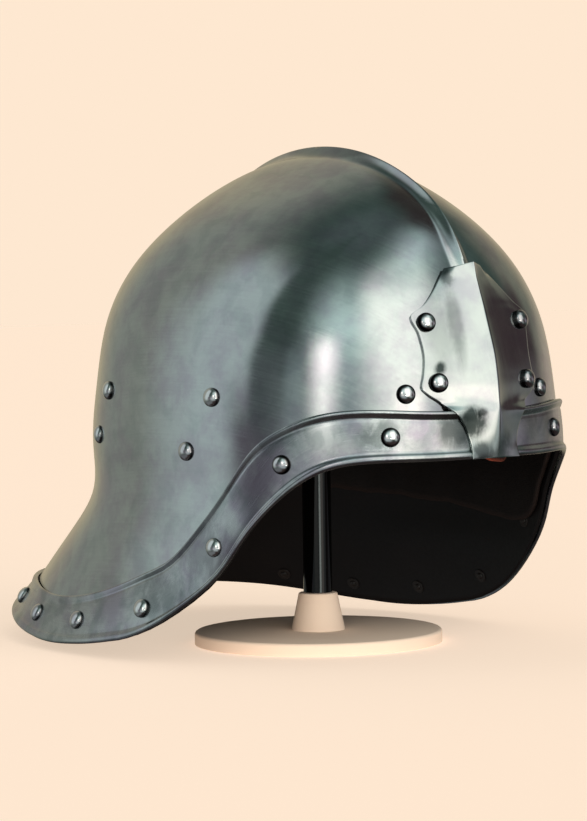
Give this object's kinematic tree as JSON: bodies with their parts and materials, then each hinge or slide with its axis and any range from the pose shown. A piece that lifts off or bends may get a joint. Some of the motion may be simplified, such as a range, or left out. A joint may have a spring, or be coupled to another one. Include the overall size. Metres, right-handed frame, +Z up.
{
  "type": "sallet on display stand",
  "caption": "Steel sallet helmet with a low comb, a flared tail, a riveted border with beaded edges and a creased brow plate, level on a plain pole stand.",
  "frame": {"origin": "on the surface that the stand rests on, under the middle of the helmet's length and width", "axes": "+X towards the wearer's left, +Y from the brow back to the tail, +Z up"},
  "size_m": [0.2298, 0.3086, 0.2389],
  "materials": {
    "satin_steel": "satin, brushed by hand",
    "plate_steel": "bright satin",
    "border_steel": "satin",
    "rivet_steel": "polished",
    "liner_leather": "dark brown, matte",
    "black_enamel": "gloss black",
    "pale_paint": "matte pale peach"
  },
  "bodies": {
    "root": {"border_band": "border_steel", "brow_plate": "plate_steel", "liner": "liner_leather", "rivet_band_left_1": "rivet_steel", "rivet_band_left_2": "rivet_steel", "rivet_band_left_3": "rivet_steel", "rivet_band_left_4": "rivet_steel", "rivet_band_left_5": "rivet_steel", "rivet_band_left_6": "rivet_steel", "rivet_band_left_7": "rivet_steel", "rivet_band_left_8": "rivet_steel", "rivet_band_right_1": "rivet_steel", "rivet_band_right_2": "rivet_steel", "rivet_band_right_3": "rivet_steel", "rivet_band_right_4": "rivet_steel", "rivet_band_right_5": "rivet_steel", "rivet_band_right_6": "rivet_steel", "rivet_band_right_7": "rivet_steel", "rivet_band_right_8": "rivet_steel", "rivet_band_tail": "rivet_steel", "rivet_brow_left": "rivet_steel", "rivet_brow_right": "rivet_steel", "rivet_liner_back_lower_left": "rivet_steel", "rivet_liner_back_lower_right": "rivet_steel", "rivet_liner_back_upper_left": "rivet_steel", "rivet_liner_back_upper_right": "rivet_steel", "rivet_liner_front_lower_left": "rivet_steel", "rivet_liner_front_lower_right": "rivet_steel", "rivet_liner_front_upper_left": "rivet_steel", "rivet_liner_front_upper_right": "rivet_steel", "rivet_plate_lower_left": "rivet_steel", "rivet_plate_lower_right": "rivet_steel", "rivet_plate_upper_left": "rivet_steel", "rivet_plate_upper_right": "rivet_steel", "skull": "satin_steel", "stand_base": "pale_paint", "stand_head": "black_enamel", "stand_pole": "black_enamel"}
  },
  "joints": []
}
